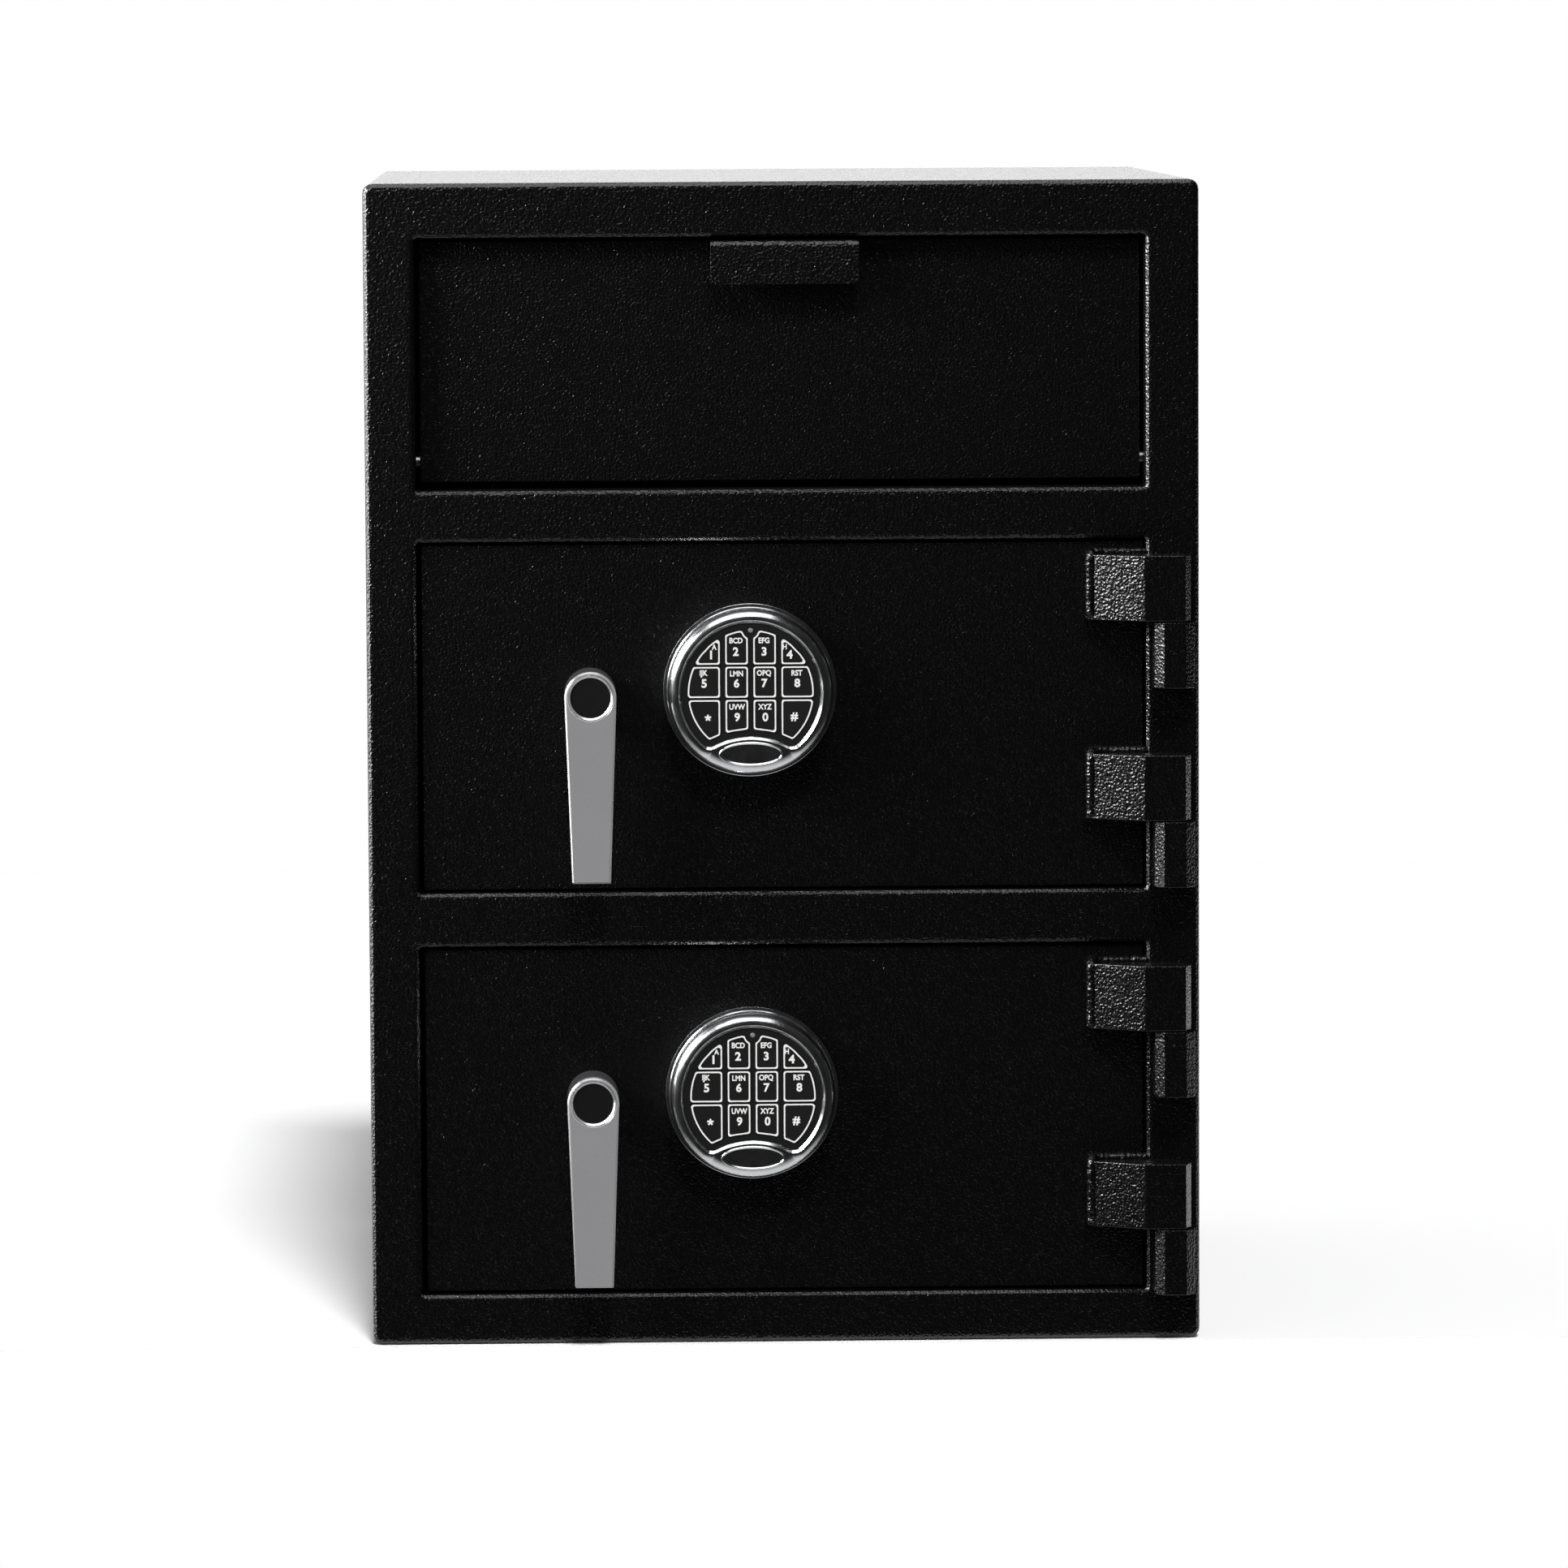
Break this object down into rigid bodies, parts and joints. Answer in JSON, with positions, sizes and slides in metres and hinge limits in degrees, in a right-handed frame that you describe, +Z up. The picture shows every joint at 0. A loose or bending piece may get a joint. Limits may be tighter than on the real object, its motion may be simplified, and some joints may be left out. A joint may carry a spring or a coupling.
{
  "type": "drop safe",
  "caption": "Front-loading drop safe: a tilt-out deposit hopper with a lip pull above hinged locking compartment doors, each with a lever handle and a round keypad lock.",
  "frame": {"origin": "centre of the cabinet's footprint, on its underside", "axes": "+X to the right seen from the front, +Y from the front face to the back, +Z up"},
  "size_m": [0.508, 0.541, 0.711],
  "materials": {
    "black_powder_coat": "fine textured powder coat",
    "satin_lever": "satin nickel plated die casting",
    "black_plastic": "moulded, low gloss",
    "bright_chrome": "polished",
    "keypad_black": "moulded satin, white printed key marks",
    "plated_steel": "zinc plated",
    "lock_grey": "die cast lock case"
  },
  "bodies": {
    "cabinet": {"body_shell": "black_powder_coat", "front_frame": "black_powder_coat", "divider_shelf": "black_powder_coat", "hopper_hood": "black_powder_coat", "upper_knuckle_bottom": "black_powder_coat", "upper_knuckle_top": "black_powder_coat", "lower_knuckle_bottom": "black_powder_coat", "lower_knuckle_top": "black_powder_coat"},
    "hopper": {"hopper_panel": "black_powder_coat", "hopper_pull": "black_powder_coat", "hopper_tray": "black_powder_coat"},
    "upper_door": {"upper_door_plate": "black_powder_coat", "upper_inner_pan": "black_powder_coat", "upper_lock_case": "lock_grey", "upper_keypad_bezel": "bright_chrome", "upper_keypad_face": "keypad_black", "upper_strap_bottom": "black_powder_coat", "upper_strap_top": "black_powder_coat"},
    "upper_handle": {"upper_handle_lever": "satin_lever", "upper_handle_hub": "black_plastic", "upper_spindle_cam": "plated_steel"},
    "upper_boltwork": {"upper_bolt_carriage": "plated_steel"},
    "upper_lock": {"upper_lock_bolt": "plated_steel"},
    "lower_door": {"lower_door_plate": "black_powder_coat", "lower_inner_pan": "black_powder_coat", "lower_lock_case": "lock_grey", "lower_keypad_bezel": "bright_chrome", "lower_keypad_face": "keypad_black", "lower_strap_bottom": "black_powder_coat", "lower_strap_top": "black_powder_coat"},
    "lower_handle": {"lower_handle_lever": "satin_lever", "lower_handle_hub": "black_plastic", "lower_spindle_cam": "plated_steel"},
    "lower_boltwork": {"lower_bolt_carriage": "plated_steel"},
    "lower_lock": {"lower_lock_bolt": "plated_steel"},
    "upper_button_1": {"upper_key_1": "keypad_black"},
    "upper_button_2": {"upper_key_2": "keypad_black"},
    "upper_button_3": {"upper_key_3": "keypad_black"},
    "upper_button_4": {"upper_key_4": "keypad_black"},
    "upper_button_5": {"upper_key_5": "keypad_black"},
    "upper_button_6": {"upper_key_6": "keypad_black"},
    "upper_button_7": {"upper_key_7": "keypad_black"},
    "upper_button_8": {"upper_key_8": "keypad_black"},
    "upper_button_star": {"upper_key_star": "keypad_black"},
    "upper_button_9": {"upper_key_9": "keypad_black"},
    "upper_button_0": {"upper_key_0": "keypad_black"},
    "upper_button_hash": {"upper_key_hash": "keypad_black"},
    "lower_button_1": {"lower_key_1": "keypad_black"},
    "lower_button_2": {"lower_key_2": "keypad_black"},
    "lower_button_3": {"lower_key_3": "keypad_black"},
    "lower_button_4": {"lower_key_4": "keypad_black"},
    "lower_button_5": {"lower_key_5": "keypad_black"},
    "lower_button_6": {"lower_key_6": "keypad_black"},
    "lower_button_7": {"lower_key_7": "keypad_black"},
    "lower_button_8": {"lower_key_8": "keypad_black"},
    "lower_button_star": {"lower_key_star": "keypad_black"},
    "lower_button_9": {"lower_key_9": "keypad_black"},
    "lower_button_0": {"lower_key_0": "keypad_black"},
    "lower_button_hash": {"lower_key_hash": "keypad_black"}
  },
  "joints": [
    {"name": "upper_door_hinge", "type": "hinge", "parent": "cabinet", "child": "upper_door", "pos_m": [0.236, -0.266, 0.38], "axis": [0, 0, 1], "range_deg": [0, 110]},
    {"name": "lower_door_hinge", "type": "hinge", "parent": "cabinet", "child": "lower_door", "pos_m": [0.236, -0.266, 0.1325], "axis": [0, 0, 1], "range_deg": [0, 110]},
    {"name": "hopper_tilt", "type": "hinge", "parent": "cabinet", "child": "hopper", "pos_m": [0, -0.2295, 0.541], "axis": [1, 0, 0], "range_deg": [0, 48]},
    {"name": "upper_handle_turn", "type": "hinge", "parent": "upper_door", "child": "upper_handle", "pos_m": [-0.118, -0.254, 0.4], "axis": [0, 1, 0], "range_deg": [0, 90]},
    {"name": "lower_handle_turn", "type": "hinge", "parent": "lower_door", "child": "lower_handle", "pos_m": [-0.118, -0.254, 0.1525], "axis": [0, 1, 0], "range_deg": [0, 90]},
    {"name": "upper_bolts_throw", "type": "slide", "parent": "upper_door", "child": "upper_boltwork", "axis": [-1, 0, 0], "range_m": [0, 0.02]},
    {"name": "lower_bolts_throw", "type": "slide", "parent": "lower_door", "child": "lower_boltwork", "axis": [-1, 0, 0], "range_m": [0, 0.02]},
    {"name": "upper_lock_drop", "type": "slide", "parent": "upper_door", "child": "upper_lock", "axis": [0, 0, -1], "range_m": [0, 0.01]},
    {"name": "lower_lock_drop", "type": "slide", "parent": "lower_door", "child": "lower_lock", "axis": [0, 0, -1], "range_m": [0, 0.01]},
    {"name": "upper_press_1", "type": "slide", "parent": "upper_door", "child": "upper_button_1", "axis": [0, 1, 0], "range_m": [0, 0.0008], "stiffness_N_per_m": 300},
    {"name": "upper_press_2", "type": "slide", "parent": "upper_door", "child": "upper_button_2", "axis": [0, 1, 0], "range_m": [0, 0.0008], "stiffness_N_per_m": 300},
    {"name": "upper_press_3", "type": "slide", "parent": "upper_door", "child": "upper_button_3", "axis": [0, 1, 0], "range_m": [0, 0.0008], "stiffness_N_per_m": 300},
    {"name": "upper_press_4", "type": "slide", "parent": "upper_door", "child": "upper_button_4", "axis": [0, 1, 0], "range_m": [0, 0.0008], "stiffness_N_per_m": 300},
    {"name": "upper_press_5", "type": "slide", "parent": "upper_door", "child": "upper_button_5", "axis": [0, 1, 0], "range_m": [0, 0.0008], "stiffness_N_per_m": 300},
    {"name": "upper_press_6", "type": "slide", "parent": "upper_door", "child": "upper_button_6", "axis": [0, 1, 0], "range_m": [0, 0.0008], "stiffness_N_per_m": 300},
    {"name": "upper_press_7", "type": "slide", "parent": "upper_door", "child": "upper_button_7", "axis": [0, 1, 0], "range_m": [0, 0.0008], "stiffness_N_per_m": 300},
    {"name": "upper_press_8", "type": "slide", "parent": "upper_door", "child": "upper_button_8", "axis": [0, 1, 0], "range_m": [0, 0.0008], "stiffness_N_per_m": 300},
    {"name": "upper_press_star", "type": "slide", "parent": "upper_door", "child": "upper_button_star", "axis": [0, 1, 0], "range_m": [0, 0.0008], "stiffness_N_per_m": 300},
    {"name": "upper_press_9", "type": "slide", "parent": "upper_door", "child": "upper_button_9", "axis": [0, 1, 0], "range_m": [0, 0.0008], "stiffness_N_per_m": 300},
    {"name": "upper_press_0", "type": "slide", "parent": "upper_door", "child": "upper_button_0", "axis": [0, 1, 0], "range_m": [0, 0.0008], "stiffness_N_per_m": 300},
    {"name": "upper_press_hash", "type": "slide", "parent": "upper_door", "child": "upper_button_hash", "axis": [0, 1, 0], "range_m": [0, 0.0008], "stiffness_N_per_m": 300},
    {"name": "lower_press_1", "type": "slide", "parent": "lower_door", "child": "lower_button_1", "axis": [0, 1, 0], "range_m": [0, 0.0008], "stiffness_N_per_m": 300},
    {"name": "lower_press_2", "type": "slide", "parent": "lower_door", "child": "lower_button_2", "axis": [0, 1, 0], "range_m": [0, 0.0008], "stiffness_N_per_m": 300},
    {"name": "lower_press_3", "type": "slide", "parent": "lower_door", "child": "lower_button_3", "axis": [0, 1, 0], "range_m": [0, 0.0008], "stiffness_N_per_m": 300},
    {"name": "lower_press_4", "type": "slide", "parent": "lower_door", "child": "lower_button_4", "axis": [0, 1, 0], "range_m": [0, 0.0008], "stiffness_N_per_m": 300},
    {"name": "lower_press_5", "type": "slide", "parent": "lower_door", "child": "lower_button_5", "axis": [0, 1, 0], "range_m": [0, 0.0008], "stiffness_N_per_m": 300},
    {"name": "lower_press_6", "type": "slide", "parent": "lower_door", "child": "lower_button_6", "axis": [0, 1, 0], "range_m": [0, 0.0008], "stiffness_N_per_m": 300},
    {"name": "lower_press_7", "type": "slide", "parent": "lower_door", "child": "lower_button_7", "axis": [0, 1, 0], "range_m": [0, 0.0008], "stiffness_N_per_m": 300},
    {"name": "lower_press_8", "type": "slide", "parent": "lower_door", "child": "lower_button_8", "axis": [0, 1, 0], "range_m": [0, 0.0008], "stiffness_N_per_m": 300},
    {"name": "lower_press_star", "type": "slide", "parent": "lower_door", "child": "lower_button_star", "axis": [0, 1, 0], "range_m": [0, 0.0008], "stiffness_N_per_m": 300},
    {"name": "lower_press_9", "type": "slide", "parent": "lower_door", "child": "lower_button_9", "axis": [0, 1, 0], "range_m": [0, 0.0008], "stiffness_N_per_m": 300},
    {"name": "lower_press_0", "type": "slide", "parent": "lower_door", "child": "lower_button_0", "axis": [0, 1, 0], "range_m": [0, 0.0008], "stiffness_N_per_m": 300},
    {"name": "lower_press_hash", "type": "slide", "parent": "lower_door", "child": "lower_button_hash", "axis": [0, 1, 0], "range_m": [0, 0.0008], "stiffness_N_per_m": 300}
  ],
  "couplings": [
    {"joint": "upper_bolts_throw", "follows": "upper_handle_turn", "m_per_rad": 0.012732},
    {"joint": "lower_bolts_throw", "follows": "lower_handle_turn", "m_per_rad": 0.012732}
  ]
}
